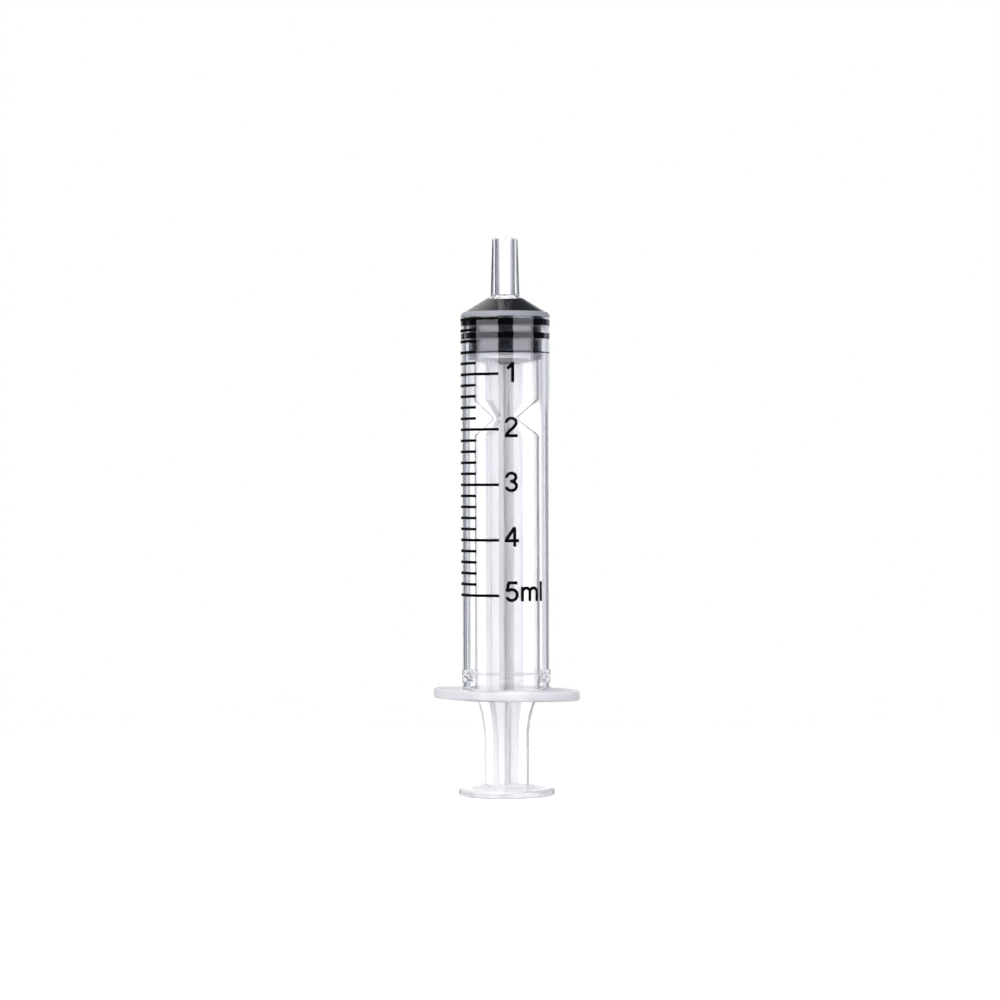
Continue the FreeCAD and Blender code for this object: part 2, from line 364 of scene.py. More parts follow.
def rounded(corners, closed):
    """Rows of (radius, height, rounding) become a smooth profile.

    A rounded corner turns into an arc that touches both sides: it leaves each side at rounding / tan(h),
    where h is half of the corner's angle, and its points are the two ends blended by sines of the angle.
    """
    corners = [tuple(c) + (0.0,) * (3 - len(c)) for c in corners]
    pieces = []
    for i, (x, y, rounding) in enumerate(corners):
        point = np.array([x, y])
        at_end = not closed and i in (0, len(corners) - 1)
        if rounding == 0 or at_end:
            pieces.append(point[None, :])
            continue
        before = np.array(corners[i - 1][:2]) - point
        after = np.array(corners[(i + 1) % len(corners)][:2]) - point
        before /= np.linalg.norm(before)
        after /= np.linalg.norm(after)
        half = math.acos(np.clip(before @ after, -1, 1)) / 2
        bisector = (before + after) / np.linalg.norm(before + after)
        centre = point + bisector * rounding / math.sin(half)
        start = point + before * rounding / math.tan(half) - centre
        end = point + after * rounding / math.tan(half) - centre
        sweep = math.pi - 2 * half
        t = np.linspace(0, 1, max(3, math.ceil(sweep / arc_step) + 1))[:, None]
        blend = np.sin((1 - t) * sweep) * start + np.sin(t * sweep) * end
        pieces.append(centre + blend / math.sin(sweep))
    return np.concatenate(pieces)


def filled(points, closed):
    """Adds points along straight stretches: one guard distance from each end, and evenly between."""
    ends = np.roll(points, -1, axis=0) if closed else points[1:]
    pieces = []
    for start, end in zip(points, ends):
        length = np.linalg.norm(end - start)
        stops = np.zeros(1)
        if length > 4 * guard:
            count = math.ceil((length - 2 * guard) / longest_stretch)
            stops = np.concatenate([stops, np.linspace(guard, length - guard, count + 1)])
        pieces.append(start + stops[:, None] * (end - start) / max(length, 1e-9))
    if not closed:
        pieces.append(points[-1:])
    return np.concatenate(pieces)


def grid_faces(rows, columns, rows_close):
    """Quads between neighbours in a grid whose columns close on themselves, and its rows if asked."""
    strips = rows if rows_close else rows - 1
    row, column = np.meshgrid(np.arange(strips), np.arange(columns), indexing="ij")
    up = (row + 1) % rows
    over = (column + 1) % columns
    corners = [row * columns + column, row * columns + over, up * columns + over, up * columns + column]
    return np.stack(corners, axis=-1).reshape(-1, 4)


def new_piece(name, points, faces):
    """A smooth mesh object at the origin, from points in millimetres and rows of corner numbers."""
    mesh = bpy.data.meshes.new(name)
    mesh.from_pydata((points / per_metre).tolist(), [], faces)
    mesh.polygons.foreach_set("use_smooth", np.ones(len(mesh.polygons), dtype=bool))
    mesh.update()
    piece = bpy.data.objects.new(name, mesh)
    scene.collection.objects.link(piece)
    return piece


def report(piece):
    """Prints a piece's volume, its triangles, and how many of its edges aren't shared by two faces."""
    shape = bmesh.new()
    shape.from_mesh(piece.data)
    volume = shape.calc_volume(signed=True) * per_metre ** 3
    loose = sum(1 for edge in shape.edges if len(edge.link_faces) != 2)
    triangles = sum(len(face.verts) - 2 for face in shape.faces)
    shape.free()
    print(piece.name, round(volume, 1), "mm3,", triangles, "triangles,", loose, "open edges")


def full_turn(count):
    """Angles spread evenly over a whole turn."""
    return np.linspace(0, 2 * math.pi, count, endpoint=False)


def about_axis(radius, z, angle):
    """Radius r, height z and angle a become the point (r cos a, r sin a, z)."""
    return np.stack([radius * np.cos(angle), radius * np.sin(angle), z + 0 * angle], axis=-1)


def turned(name, profile, closed):
    """A surface of revolution: each row (radius, height) of the profile becomes a ring of points.

    A closed profile makes a ring-shaped skin. An open one starts and ends on the axis, where the first
    and last rows shrink to one point each, joined by a fan of triangles.
    """
    rows = profile if closed else profile[1:-1]
    points = about_axis(rows[:, :1], rows[:, 1:], full_turn(turn_count)).reshape(-1, 3)
    faces = grid_faces(len(rows), turn_count, closed).tolist()
    if not closed:
        low, high = len(points), len(points) + 1
        ring = np.arange(turn_count)
        following = (ring + 1) % turn_count
        top = (len(rows) - 1) * turn_count
        faces += np.stack([ring * 0 + low, following, ring], axis=-1).tolist()
        faces += np.stack([ring + top, following + top, ring * 0 + high], axis=-1).tolist()
        points = np.concatenate([points, [[0, 0, profile[0][1]], [0, 0, profile[-1][1]]]])
    return new_piece(name, points, faces)


# %% [markdown]
# ## Barrel
#
# The barrel is one moulding: tube, finger flange, shoulder cone and nozzle, with a low bead inside the
# mouth that keeps the plunger in. It is drawn as one closed profile carried round the axis, up the
# outside, over the nozzle's tip and down through the channel and the bore.
#
# Only the flange isn't round. Its outline is two long side arcs that run into two end arcs, so the part
# of the profile that lies beyond the tube is stretched to that outline, direction by direction. One grid
# for the whole barrel means that light bends through one unbroken skin.

# %% Barrel mesh
flange_end_radius = 3.8
flange_edge_rounding = 0.45
flange_root = barrel_radius + 0.5
bead_height = 0.2
bead_radius = bore_radius - bead_height
bead_low_z = flange_top_z + 1.25
bead_slope = 0.55
mouth_lead = 0.25


def flange_reach(angle, inset):
    """Distance from the axis to the flange's outline, moved inwards by an inset, in each direction.

    The side arcs' radius follows from the half width w, the end arcs' centre e and radius q:
    (e*e + w*w - q*q) / (2 (w - q)). A ray from the axis meets an arc of radius R centred c away at
    p + sqrt(R*R - s*s), where p and s are c's parts along and across the ray.
    """
    end_x = flange_half_length - flange_end_radius
    side_radius = end_x ** 2 + flange_half_width ** 2 - flange_end_radius ** 2
    side_radius /= 2 * (flange_half_width - flange_end_radius)
    side_y = flange_half_width - side_radius
    along = np.abs(np.cos(angle))
    across = np.abs(np.sin(angle))
    lean = math.atan2(-side_y, end_x)
    meet = math.atan2(flange_end_radius * math.sin(lean), end_x + flange_end_radius * math.cos(lean))
    end_square = (flange_end_radius - inset) ** 2 - (end_x * across) ** 2
    end_arc = end_x * along + np.sqrt(np.maximum(end_square, 0))
    side_arc = side_y * across + np.sqrt((side_radius - inset) ** 2 - (side_y * along) ** 2)
    return np.where(np.arctan2(across, along) < meet, end_arc, side_arc)


# Rows of radius, height and rounding.
barrel_corners = [
    (bore_radius + mouth_lead, underside_z, 0.1),
    (flange_half_length, underside_z, flange_edge_rounding),
    (flange_half_length, flange_top_z, flange_edge_rounding),
    (barrel_radius, flange_top_z, 0.35),
    (barrel_radius, shoulder_z, 0.8),
    (nozzle_root_radius, nozzle_root_z, 0.35),
    (nozzle_tip_radius, nozzle_tip_z, 0.25),
    (channel_radius, nozzle_tip_z, 0.12),
    (channel_radius, channel_root_z, 0.3),
    (bore_radius, inner_cone_z, 0.1),
    (bore_radius, bead_low_z + 3 * bead_slope, 0.9),
    (bead_radius, bead_low_z + 2 * bead_slope, 0.8),
    (bead_radius, bead_low_z + bead_slope, 0.8),
    (bore_radius, bead_low_z, 0.9),
    (bore_radius, underside_z + mouth_lead, 0.1),
]


def make_barrel():
    """Carries the barrel's profile round the axis and stretches its flange to the outline."""
    profile = filled(rounded(barrel_corners, True), True)
    angle = full_turn(turn_count)
    radius, z = profile[:, :1], profile[:, 1:]
    edge_start = flange_half_length - flange_edge_rounding
    inset = np.clip(flange_half_length - radius, 0, flange_edge_rounding)
    outline = flange_reach(angle[None, :], inset)
    share = np.clip((radius - flange_root) / (edge_start - flange_root), 0, 1)
    radius = np.where(radius > flange_root, flange_root + (outline - flange_root) * share, radius)
    points = about_axis(radius, z, angle).reshape(-1, 3)
    faces = grid_faces(len(profile), turn_count, True).tolist()
    return new_piece("clear_barrel", points, faces)


barrel = make_barrel()
report(barrel)

# %% [markdown]
# ## Plunger rod
#
# The rod is one moulding too. Its long part is a cross of four ribs, and the ribs are as wide as a turned
# outline lets them be: narrow at the grip, flaring out under the barrel's mouth, full width in the bore,
# and cut in to a thin core at the notch where a used syringe is snapped. So the cross is a grid of two
# parameters: the way round the cross and the height, where each rib's reach is read off the outline.
#
# The outline's heights come from the stopper: the disc lies just under it, and the notch is a set way
# below the disc.

# %% Sizes of the rod, and its outline
rib_half = 0.5
rib_root_rounding = 0.3
rib_tip_rounding = 0.14
rib_gap = 0.57
rib_reach = bore_radius - rib_gap
grip_reach = 3.8
flare_height = 6.7
flare_top_z = underside_z + 0.9
# Air left between the rod's head and its socket in the rubber.
clearance = 0.05
disc_top_z = stopper_rear_z - clearance
disc_thickness = 0.95
disc_bottom_z = disc_top_z - disc_thickness
disc_skirt = 0.75
skirt_width = 3.7
disc_gap = 0.17
disc_radius = bore_radius - disc_gap
notch_drop = 9.1
notch_z = disc_bottom_z - notch_drop
notch_reach = 2.0
notch_slope_below = 2.6
notch_slope_above = 2.85
thumb_thickness = 1.25
mound_height = 0.7
mound_top_z = thumb_thickness + mound_height
overlap = 0.6


def rod_outline():
    """Rows of (rib reach, height) from the thumb rest to the disc, with the flare as an arc.

    The flare leaves the grip upright and widens by R (1 - cos a) over a height of R sin a.
    """
    widening = rib_reach - grip_reach
    flare_radius = (flare_height ** 2 + widening ** 2) / (2 * widening)
    a = np.linspace(0, math.asin(flare_height / flare_radius), 25)
    flare = np.stack([
        grip_reach + flare_radius * (1 - np.cos(a)),
        flare_top_z - flare_height + flare_radius * np.sin(a),
    ], axis=-1)
    corners = [(grip_reach, mound_top_z - overlap)]
    corners += [tuple(row) for row in flare]
    corners += [
        (rib_reach, notch_z - notch_slope_below, 0.6),
        (notch_reach, notch_z, 0.35),
        (rib_reach, notch_z + notch_slope_above, 0.6),
        (rib_reach, disc_bottom_z + overlap / 2),
    ]
    return filled(rounded(corners, False), False)


print("ribs reach", round(rib_reach, 2), "mm, notch at", round(float(notch_z), 2), "mm")

# %% [markdown]
# The cross is worked out for one quarter and turned three times. Each point of the quarter knows how much
# of the rib's reach it takes: all of it at the tip, none at the root. So one array of points, scaled by
# the outline's reach at every height, gives the whole grid at once.

# %% Ribs
def quarter_cross():
    """A quarter of the cross's outline as two arrays: a point is offset + share * reach.

    It runs from the middle of the tip of the rib on +X, round the tip's rounded edge, along the rib's
    side to the rounded root, and out again along the next rib, as a mirror image about the diagonal.
    """
    bend = np.linspace(0, math.pi / 2, 5)
    tip_edge = np.stack([
        rib_tip_rounding * (np.cos(bend) - 1),
        rib_half - rib_tip_rounding + rib_tip_rounding * np.sin(bend),
    ], axis=-1)
    tip = np.concatenate([[[0, 0], [0, 0.2]], tip_edge])
    tip_share = np.ones(len(tip))
    root = rib_half + rib_root_rounding
    side_share = np.array([0.98, 0.75, 0.5, 0.25, 0.02])
    side = np.stack([
        root * (1 - side_share) - rib_tip_rounding * side_share,
        rib_half + 0 * side_share,
    ], axis=-1)
    sweep = np.linspace(1.5 * math.pi, 1.25 * math.pi, 4)
    fillet = root + rib_root_rounding * np.stack([np.cos(sweep), np.sin(sweep)], axis=-1)
    offset = np.concatenate([tip, side, fillet])
    share = np.concatenate([tip_share, side_share, np.zeros(len(fillet))])
    offset = np.concatenate([offset, offset[-2:0:-1, ::-1]])
    share = np.stack([share, 0 * share], axis=-1)
    share = np.concatenate([share, share[-2:0:-1, ::-1]])
    return offset, share


def make_ribs():
    """The four ribs as a grid: rows follow the height, columns go round the cross."""
    outline = rod_outline()
    offset, share = quarter_cross()
    reach, z = outline[:, 0][:, None, None], outline[:, 1]
    quarter = offset + share * reach
    # The ribs are cut to a turned outline, so a tip's face bows: it falls back by y * y / (2 reach).
    bow = quarter[..., ::-1] ** 2 / (2 * reach) * (share == 1)
    quarter = quarter - bow
    turns = [quarter]
    for _ in range(3):
        last = turns[-1]
        turns.append(np.stack([-last[..., 1], last[..., 0]], axis=-1))
    ring = np.concatenate(turns, axis=1)
    rows, columns = ring.shape[:2]
    height = np.broadcast_to(z[:, None, None], (rows, columns, 1))
    points = np.concatenate([ring, height], axis=-1).reshape(-1, 3)
    faces = grid_faces(rows, columns, False).tolist()
    faces.append(list(range(columns))[::-1])
    faces.append(list(range((rows - 1) * columns, rows * columns)))
    return new_piece("ribs", points, faces)


# %% [markdown]
# The thumb rest below and the disc with its barbed head above are turned. A union makes one skin of all
# three, because light would show every hidden face inside milky plastic. The head's profile is used again
# for the socket in the rubber, a little larger.

# %% Thumb rest, head and union
grip_rings = (2.2, 4.4)
grip_ring_half = 0.3
grip_ring_depth = 0.2
mound_foot_radius = 6.2
mound_top_radius = 3.4
neck_radius = 2.2
neck_height = 1.8
barb_radius = 3.2
barb_land = 0.5
head_nose_radius = 1.7
head_height = 2.7
sharp_angle = math.radians(35.0)


def thumb_rest_corners():
    """The thumb rest: grip rings pressed into its underside, a rounded rim, and a low mound on top."""
    corners = [(0, 0)]
    for ring in grip_rings:
        corners += [
            (ring - grip_ring_half, 0, 0.1),
            (ring, grip_ring_depth, 0.1),
            (ring + grip_ring_half, 0, 0.1),
        ]
    return corners + [
        (thumb_radius, 0, 0.4),
        (thumb_radius, thumb_thickness, 0.45),
        (mound_foot_radius, thumb_thickness, 1.5),
        (mound_top_radius, mound_top_z, 1.5),
        (0, mound_top_z),
    ]


def head_corners(grown):
    """The barbed head from its neck up: barb, land and slanted nose, grown all round by a distance."""
    barb_z = disc_top_z + neck_height
    nose_z = barb_z + head_height + grown
    return [
        (neck_radius + grown, barb_z - grown, 0.15),
        (barb_radius + grown, barb_z - grown, 0.12),
        (barb_radius + grown, barb_z + barb_land, 0.2),
        (head_nose_radius + grown, nose_z, 0.4),
        (0, nose_z),
    ]


def make_plunger_rod():
    """The union of the ribs, the thumb rest and the disc with its head, as one skin."""
    disc_corners = [
        (0, disc_bottom_z - disc_skirt),
        (disc_radius - skirt_width, disc_bottom_z - disc_skirt, 0.3),
        (disc_radius, disc_bottom_z, 0.15),
        (disc_radius, disc_top_z, 0.15),
        (neck_radius, disc_top_z, 0.2),
    ] + head_corners(0.0)
    rod = make_ribs()
    parts = [
        turned("thumb_rest", filled(rounded(thumb_rest_corners(), False), False), False),
        turned("head", filled(rounded(disc_corners, False), False), False),
    ]
    for part in parts:
        union = rod.modifiers.new("union", "BOOLEAN")
        union.operation = "UNION"
        union.solver = "EXACT"
        union.object = part
    solid = rod.evaluated_get(bpy.context.evaluated_depsgraph_get())
    mesh = bpy.data.meshes.new_from_object(solid)
    for leftover in [rod, *parts]:
        bpy.data.objects.remove(leftover)
    mesh.name = "milky_plunger_rod"
    mesh.set_sharp_from_angle(angle=sharp_angle)
    piece = bpy.data.objects.new("milky_plunger_rod", mesh)
    scene.collection.objects.link(piece)
    return piece


plunger_rod = make_plunger_rod()
report(plunger_rod)

# %% [markdown]
# ## Rubber stopper
#
# The stopper seals with two rings that are squeezed flat against the bore. Where rubber touches the wall
# no air is left between them, and the wall looks wet and black there. In the grooves there is air, and
# three surfaces reflect instead of one. So the rings are drawn a hair into the wall, by as much as real
# rubber is squeezed, and the grooves are left open. The nose is pressed to the cone in the same way.

# %% Rubber stopper mesh
squeeze = 0.03
nose_corner = 0.4
ring_radius = bore_radius + squeeze
ring_height = 0.92
ring_slope = 0.2
waist_height = 2.05
groove_height = 1.15
waist_depth = 0.46
groove_depth = 0.48
waist_radius = ring_radius - waist_depth
groove_radius = ring_radius - groove_depth
# From the rear up: rim, waist, second ring, groove, first ring and nose.
waist_low_z = stopper_rear_z + ring_slope
ring_two_low_z = waist_low_z + waist_height
groove_low_z = ring_two_low_z + ring_height
ring_one_low_z = groove_low_z + groove_height
ring_one_high_z = ring_one_low_z + ring_height
nose_radius = 2.3
# The nose follows the barrel's inner cone, and is pressed into it by the same squeeze.
nose_cone_z = inner_cone_z + squeeze / math.cos(math.atan(cone_slope))
cut_radius = ring_radius - nose_corner * math.cos(math.atan(cone_slope))
cut_z = nose_cone_z + (bore_radius - cut_radius) * cone_slope
nose_tip_z = nose_cone_z + (bore_radius - nose_radius) * cone_slope

stopper_corners = head_corners(clearance)[::-1] + [
    (neck_radius + clearance, stopper_rear_z, 0.15),
    (ring_radius, stopper_rear_z, 0.1),
    (ring_radius, waist_low_z, 0.08),
    (waist_radius, waist_low_z + ring_slope, 0.2),
    (waist_radius, ring_two_low_z - ring_slope, 0.2),
    (ring_radius, ring_two_low_z, 0.15),
    (ring_radius, groove_low_z, 0.15),
    (groove_radius, groove_low_z + ring_slope, 0.15),
    (groove_radius, ring_one_low_z - ring_slope, 0.15),
    (ring_radius, ring_one_low_z, 0.15),
    (ring_radius, ring_one_high_z, 0.35),
    (cut_radius, cut_z, 0.35),
    (nose_radius, nose_tip_z, 0.5),
    (0, nose_tip_z),
]
stopper = turned("black_stopper", filled(rounded(stopper_corners, False), False), False)
report(stopper)

# %% [markdown]
# ## Printed scale
#
# The scale is screen-printed round the barrel: a line for every 0.2 ml, a longer one for every
# millilitre, and plain numerals. All of it is made of strokes. A stroke is a path on the flat print,
# given a width and then wrapped round the barrel, so that a point x along the print lands at the angle
# x / radius. The ink starts just under the plastic's skin, so no film of air lies behind it.

# %% Strokes wrapped on the barrel
# How far the ink reaches under the skin, and how far it stands over it.
ink_sunk = 0.02
ink_proud = 0.035
ink_low_radius = barrel_radius - ink_sunk
ink_high_radius = barrel_radius + ink_proud


def wrapped_stroke(path, width, start_azimuth):
    """A closed ribbon along a path of (x, z) points on the print, wrapped round the barrel.

    Each path point moves half the width to either side along the path's normal. Angles count from -Y
    towards +X, so a point lands at (r sin a, -r cos a, z) with a = start + x / barrel radius.
    """
    along = np.gradient(path, axis=0)
    along /= np.linalg.norm(along, axis=1, keepdims=True)
    normal = np.stack([-along[:, 1], along[:, 0]], axis=-1)
    left = path + normal * width / 2
    right = path - normal * width / 2
    section = np.stack([left, right, right, left], axis=1)
    radius = np.array([ink_low_radius, ink_low_radius, ink_high_radius, ink_high_radius])
    angle = start_azimuth + section[..., 0] / barrel_radius
    points = np.stack([radius * np.sin(angle), -radius * np.cos(angle), section[..., 1]], axis=-1)
    count = len(path)
    faces = grid_faces(count, 4, False)
    caps = np.array([[3, 2, 1, 0], [4 * count - 4, 4 * count - 3, 4 * count - 2, 4 * count - 1]])
    return points.reshape(-1, 3), np.concatenate([faces, caps])[:, ::-1]


def joined(strokes):
    """Points and faces of several strokes as one list each."""
    points, faces = [], []
    count = 0
    for stroke_points, stroke_faces in strokes:
        points.append(stroke_points)
        faces.append(stroke_faces + count)
        count += len(stroke_points)
    return np.concatenate(points), np.concatenate(faces).tolist()


mark_height = 0.42
mark_count = 26
long_mark_every = 5
mark_start = math.radians(-65.0)
short_mark_end = math.radians(-13.0)
long_mark_end = math.radians(19.4)
zero_z = marks_high[2] - mark_height / 2
five_z = marks_low[2] + mark_height / 2
ml_length = (zero_z - five_z) / 5


def make_scale_marks():
    """The lines of the scale, each as a stroke along the barrel's circle."""
    strokes = []
    for i in range(mark_count):
        end = long_mark_end if i % long_mark_every == 0 else short_mark_end
        x = np.linspace(0, (end - mark_start) * barrel_radius, 40)
        z = np.full_like(x, zero_z - i * ml_length / long_mark_every)
        strokes.append(wrapped_stroke(np.stack([x, z], axis=-1), mark_height, mark_start))
    return new_piece("scale_marks", *joined(strokes))


scale_marks = make_scale_marks()
report(scale_marks)

# %% [markdown]
# The numerals are drawn with the same strokes: straight lines, pieces of ellipses and one curve. Each
# sits in a box one unit high, and the box is scaled to the height of the print.

# %% Numerals
numeral_height = 3.05
stroke_width = 0.16
numeral_azimuth = math.radians(25.9)
first_baseline_z = 64.27
baseline_pitch = 8.456


def line(x0, z0, x1, z1):
    """A straight path."""
    t = np.linspace(0, 1, 12)[:, None]
    return np.array([x0, z0]) * (1 - t) + np.array([x1, z1]) * t


def arc(x, z, half_width, half_height, start_deg, end_deg):
    """Part of an ellipse about (x, z), from one angle to another."""
    a = np.radians(np.linspace(start_deg, end_deg, 40))
    return np.stack([x + half_width * np.cos(a), z + half_height * np.sin(a)], axis=-1)


def curve(p0, p1, p2, p3):
    """A cubic curve: the weights are (1-t)^3, 3t(1-t)^2, 3t^2(1-t) and t^3."""
    t = np.linspace(0, 1, 30)[:, None]
    p0, p1, p2, p3 = (np.array(p) for p in (p0, p1, p2, p3))
    return (1 - t) ** 3 * p0 + 3 * t * (1 - t) ** 2 * p1 + 3 * t ** 2 * (1 - t) * p2 + t ** 3 * p3


glyphs = {
    "1": [line(0.455, 0, 0.455, 1.0), curve((0.17, 0.685), (0.28, 0.74), (0.37, 0.82), (0.42, 0.955))],
    "2": [
        arc(0.375, 0.72, 0.253, 0.222, 184, 0),
        curve((0.628, 0.72), (0.628, 0.49), (0.18, 0.31), (0.12, 0.07)),
        line(0.045, 0.06, 0.70, 0.06),
    ],
    "3": [
        arc(0.37, 0.735, 0.232, 0.206, 190, -82),
        arc(0.37, 0.285, 0.262, 0.225, 82, -170),
        line(0.30, 0.525, 0.40, 0.525),
    ],
    "4": [line(0.53, 0, 0.53, 1.0), line(0.02, 0.30, 0.755, 0.30), line(0.075, 0.30, 0.51, 0.955)],
    "5": [
        line(0.175, 0.945, 0.665, 0.945),
        line(0.215, 0.95, 0.135, 0.495),
        arc(0.375, 0.33, 0.275, 0.275, 143, -158),
    ],
    "m": [
        line(0.15, 0, 0.15, 0.735),
        arc(0.36, 0.47, 0.21, 0.205, 168, 0),
        line(0.57, 0.48, 0.57, 0),
        arc(0.79, 0.47, 0.22, 0.205, 176, 0),
        line(1.01, 0.48, 1.01, 0),
    ],
    "l": [line(0.15, 0, 0.15, 1.0)],
}
advances = {"5": 0.78, "m": 1.165, "l": 0.3}


def make_numerals():
    """Writes 1 to 4 and 5ml beside the long marks."""
    strokes = []
    for row, word in enumerate(("1", "2", "3", "4", "5ml")):
        pen = 0.0
        for letter in word:
            for path in glyphs[letter]:
                placed = (path + [pen, 0]) * numeral_height
                placed[:, 1] += first_baseline_z - row * baseline_pitch
                strokes.append(wrapped_stroke(placed, stroke_width * numeral_height, numeral_azimuth))
            pen += advances.get(letter, 0)
    return new_piece("scale_numerals", *joined(strokes))


numerals = make_numerals()
report(numerals)

# %% [markdown]
# ## Finishes
#
# Each material is named for what the piece is made of and how. Polypropylene has an index of refraction
# of 1.49. The barrel is the clear grade out of a polished mould, the rod the milky grade. Colours are
# given as screen colours and turned to linear light by one function.

# %% Colour and detail helpers
polypropylene_ior = 1.49


def linear(colour):
    """A screen colour such as #E2E3E8 as linear red, green and blue, with an alpha of 1."""
    value = np.array([int(colour[i:i + 2], 16) for i in (1, 3, 5)]) / 255
    value = np.where(value <= 0.04045, value / 12.92, ((value + 0.055) / 1.055) ** 2.4)
    return (*value.tolist(), 1.0)


def new_material(name):
    """An empty material with its shader and output, and the coordinates of the piece."""
    material = bpy.data.materials.new(name)
    material.use_nodes = True
    tree = material.node_tree
    tree.nodes.clear()
    shader = add_node(tree, "ShaderNodeBsdfPrincipled")
    add_node(tree, "ShaderNodeOutputMaterial", {"Surface": shader.outputs["BSDF"]})
    place = add_node(tree, "ShaderNodeTexCoord").outputs["Object"]
    print("material", name)
    return material, tree, shader, place


def set_values(shader, values):
    """Sets fixed values on the shader's own sockets."""
    for name, value in values.items():
        shader.inputs[name].default_value = value


def noise(tree, place, size_mm, stretch=(1, 1, 1), detail=2.0):
    """Noise whose features are about size_mm across, stretched along an axis by a share under one."""
    mapping = add_node(tree, "ShaderNodeMapping", {"Vector": place, "Scale": stretch})
    return add_node(tree, "ShaderNodeTexNoise", {
        "Vector": mapping.outputs["Vector"],
        "Scale": per_metre / size_mm,
        "Detail": detail,
    }).outputs["Fac"]


def varied(tree, shader, socket, source, low, high):
    """Sends a noise, spread between two values, to a socket of the shader."""
    spread = add_node(tree, "ShaderNodeMapRange", {
        "Value": source, "From Min": 0.3, "From Max": 0.7, "To Min": low, "To Max": high,
    })
    tree.links.new(spread.outputs["Result"], shader.inputs[socket])


def bumped(tree, shader, source, depth_mm):
    """Presses a noise into the surface, to a depth in millimetres."""
    bump = add_node(tree, "ShaderNodeBump", {
        "Height": source, "Distance": depth_mm / per_metre, "Strength": 1.0,
    })
    tree.links.new(bump.outputs["Normal"], shader.inputs["Normal"])


# %% [markdown]
# Clear polypropylene from a polished mould is smooth, but never as true as glass: the wall has faint
# waves a few millimetres long, drawn out along the flow of the melt, and a slight haze. The mould of the
# flange was left matt for grip, so its faces scatter the light that goes through. A ring on the shoulder
# is given a frosted grey finish as a painted highlight: it shows as a light ring over the black rubber,
# standing in for the light that the shoulder's curved wall reflects there.

# %% Clear polypropylene
def polished_clear_polypropylene():
    """The barrel's tube, cone and nozzle: clear, with slow waves and a trace of haze."""
    material, tree, shader, place = new_material("polished_clear_polypropylene")
    set_values(shader, {
        "Base Color": linear("#FEFEFF"),
        "IOR": polypropylene_ior,
        "Transmission Weight": 1.0,
    })
    haze = noise(tree, place, size_mm=2.5, stretch=(1, 1, 0.3))
    varied(tree, shader, "Roughness", haze, low=0.015, high=0.04)
    waves = noise(tree, place, size_mm=6.0, stretch=(1, 1, 0.12), detail=1.0)
    bumped(tree, shader, waves, depth_mm=0.0015)
    return material


def matt_clear_polypropylene(name, colour, clearness):
    """The same plastic out of a spark-roughened mould: clearness is the share that passes through."""
    material, tree, shader, place = new_material(name)
    set_values(shader, {
        "Base Color": linear(colour),
        "IOR": polypropylene_ior,
        "Transmission Weight": clearness,
    })
    spark = noise(tree, place, size_mm=0.4)
    varied(tree, shader, "Roughness", spark, low=0.45, high=0.6)
    bumped(tree, shader, spark, depth_mm=0.01)
    return material


# %% [markdown]
# The rod's grade is translucent: light goes in, is scattered and comes out milky. Most of the light
# passes through a slightly rough surface and the rest is scattered under it. The thin disc under the
# rubber looks clearer and darker, because the black rubber swallows the light that the plastic scatters
# there. Its copy of the plastic lets more light through, and its colour is painted darker, as painted
# shade.

# %% Milky polypropylene
def milky_polypropylene(name, colour, clearness, roughness, gloss):
    """The rod's plastic: clearness is the share of light that isn't scattered."""
    material, tree, shader, place = new_material(name)
    set_values(shader, {
        "Base Color": linear(colour),
        "IOR": polypropylene_ior,
        "Transmission Weight": clearness,
        "Specular IOR Level": gloss,
    })
    sheen = noise(tree, place, size_mm=1.5, stretch=(1, 1, 0.4))
    varied(tree, shader, "Roughness", sheen, low=roughness - 0.03, high=roughness + 0.03)
    grain = noise(tree, place, size_mm=0.35, detail=3.0)
    bumped(tree, shader, grain, depth_mm=0.002)
    return material


# %% [markdown]
# The stopper is black rubber with a film of silicone oil: nearly no colour, and a smooth gloss with a
# slightly uneven sheen. Where it is pressed to the wall there is no air to reflect from, so those bands
# have the same finish without the gloss.

# %% Siliconed rubber
def black_rubber(name, colour, gloss):
    """Black rubber under a film of oil, or pressed to the wall when its gloss is 0."""
    material, tree, shader, place = new_material(name)
    set_values(shader, {
        "Base Color": linear(colour),
        "IOR": 1.52,
        "Specular IOR Level": gloss,
    })
    film = noise(tree, place, size_mm=1.2)
    varied(tree, shader, "Roughness", film, low=0.08, high=0.16)
    skin = noise(tree, place, size_mm=0.25, detail=3.0)
    bumped(tree, shader, skin, depth_mm=0.001)
    return material


# %% [markdown]
# Screen ink is a thin matt film with a faint grain from the mesh that it was pressed through.

# %% Screen ink
def screen_ink():
    """Matt black ink with the grain of the screen."""
    material, tree, shader, place = new_material("screen_ink")
    set_values(shader, {
        "Base Color": linear("#030303"),
        "IOR": 1.45,
        "Specular IOR Level": 0.02,
    })
    screen = noise(tree, place, size_mm=0.12)
    varied(tree, shader, "Roughness", screen, low=0.42, high=0.6)
    bumped(tree, shader, screen, depth_mm=0.002)
    return material


# %% [markdown]
# ## Dressing the frame
#
# Each piece takes its finish, hides the CAD node that it stands for, and is hung on the body that it
# moves with. The numerals stand for no node: they ride on the barrel.

# %% Put each piece on its body
# A frosted grey ring on the shoulder: a painted highlight that stands in for the light band the shoulder
# reflects.
painted_light_band_ring_z = shoulder_z - 0.1
painted_light_band_ring_half = 0.45


def zone(piece, chosen):
    """Gives each face the material whose number is chosen(radius, z).

    A face's radius and height are those of its centre, in millimetres.
    """
    mesh = piece.data
    centre = np.zeros(3 * len(mesh.polygons))
    mesh.polygons.foreach_get("center", centre)
    x, y, z = centre.reshape(-1, 3).T * per_metre
    mesh.polygons.foreach_set("material_index", chosen(np.hypot(x, y), z).astype(np.int32))


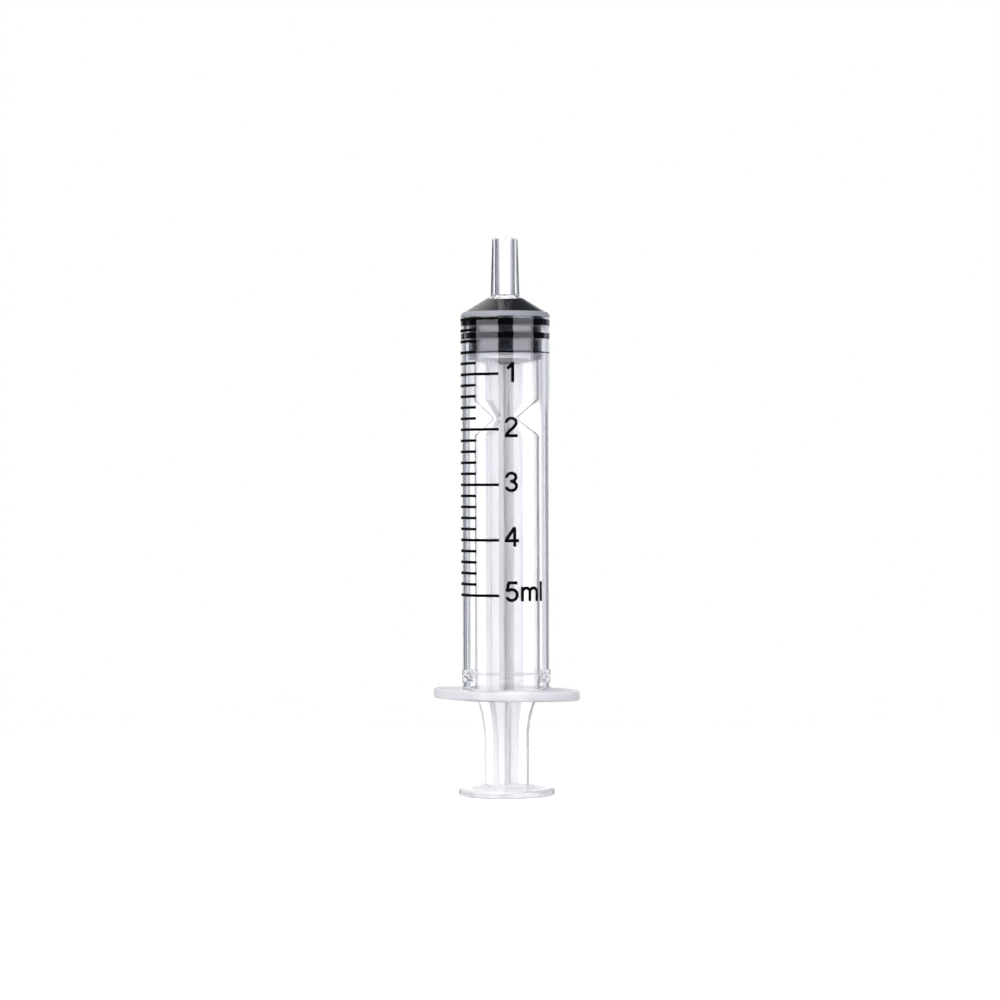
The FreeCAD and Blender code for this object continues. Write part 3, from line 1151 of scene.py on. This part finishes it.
clear = polished_clear_polypropylene()
matt = matt_clear_polypropylene("matt_clear_polypropylene", "#F8F7F8", clearness=0.7)
# The frosted grey copy for the shoulder ring is a painted highlight, not a finish of the real barrel.
painted_light_band = matt_clear_polypropylene("painted_light_band_clear_polypropylene", "#DEE0E6", clearness=0.72)
milky = milky_polypropylene("milky_polypropylene", "#FFFEFD", clearness=0.7, roughness=0.12, gloss=0.5)
# A clearer copy of the rod's plastic for the disc, whose darker grey is painted shade from the black
# rubber above it.
painted_shade_milky = milky_polypropylene(
    "painted_shade_milky_polypropylene", "#D2D2D6", clearness=0.85, roughness=0.07, gloss=0.9)
rubber = black_rubber("siliconed_black_rubber", "#1E1F26", gloss=0.65)
pressed = black_rubber("pressed_black_rubber", "#040406", gloss=0.0)
ink = screen_ink()
dress = [
    (barrel, [clear, matt, painted_light_band], "barrel", "barrel", "clear_polypropylene"),
    (plunger_rod, [milky, painted_shade_milky], "plunger_rod", "plunger", "translucent_polypropylene"),
    (stopper, [rubber, pressed], "rubber_stopper", "stopper", "black_rubber"),
    (scale_marks, [ink], "graduation_marks", "barrel", "black_ink"),
    (numerals, [ink], None, "barrel", "black_ink"),
]
for piece, materials, node, body, slot in dress:
    for material in materials:
        piece.data.materials.append(material)
    if node:
        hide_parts(node)
    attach(piece, body)
    print(piece.name, "rides on", body)

# The flange is matt, and a ring on the shoulder is frosted grey as a painted highlight.
zone(barrel, lambda radius, z: np.select([
    (radius > barrel_radius + guard) & (z < flange_top_z + guard),
    (radius > bore_radius) & (abs(z - painted_light_band_ring_z) < painted_light_band_ring_half),
], [1, 2]))
# The disc and head take the darker copy of the milky plastic: painted shade where the black rubber
# swallows the light.
zone(plunger_rod, lambda radius, z: z > disc_bottom_z - disc_skirt)
# The rings and the nose's cone are pressed to the wall.
zone(stopper, lambda radius, z: (radius > bore_radius) | ((z > cut_z) & (radius < cut_radius)))

# %% [markdown]
# ## Floor
#
# A plain white sheet. Drawing the syringe lowers its plunger by 48 mm, so the sheet lies a little deeper
# than that and the plunger never sinks into it. The sheet glows like a lit table and takes no shadow, so
# no gap shows under the foot. Light that went through the plastic or off it sees the room instead.

# %% Floor
floor_radius = 840.0
floor_z = -50.0
floor_points = 96

floor_edge = about_axis(floor_radius, floor_z, full_turn(floor_points))
floor = new_piece("floor", floor_edge, [list(range(floor_points))])
floor_material, _, floor_shader, _ = new_material("white_table")
set_values(floor_shader, {
    "Base Color": linear("#F2F2F2"),
    "Roughness": 0.9,
    "Emission Color": (1, 1, 1, 1),
    "Emission Strength": 1.0,
})
floor.data.materials.append(floor_material)
floor.visible_transmission = False
floor.visible_glossy = False
floor.visible_diffuse = False

# %% [markdown]
# ## Light paths
#
# A ray on its way through the barrel, the rod's ribs and the barrel's far wall crosses a dozen surfaces,
# and each may also throw it back. With too few bounces the ray ends inside the plastic and leaves a black
# spot, so the limits are set well above that.

# %% Bounces
scene.cycles.max_bounces = 32
scene.cycles.transmission_bounces = 32
scene.cycles.transparent_max_bounces = 16
scene.cycles.glossy_bounces = 12
scene.cycles.diffuse_bounces = 6
print("up to", scene.cycles.max_bounces, "bounces")
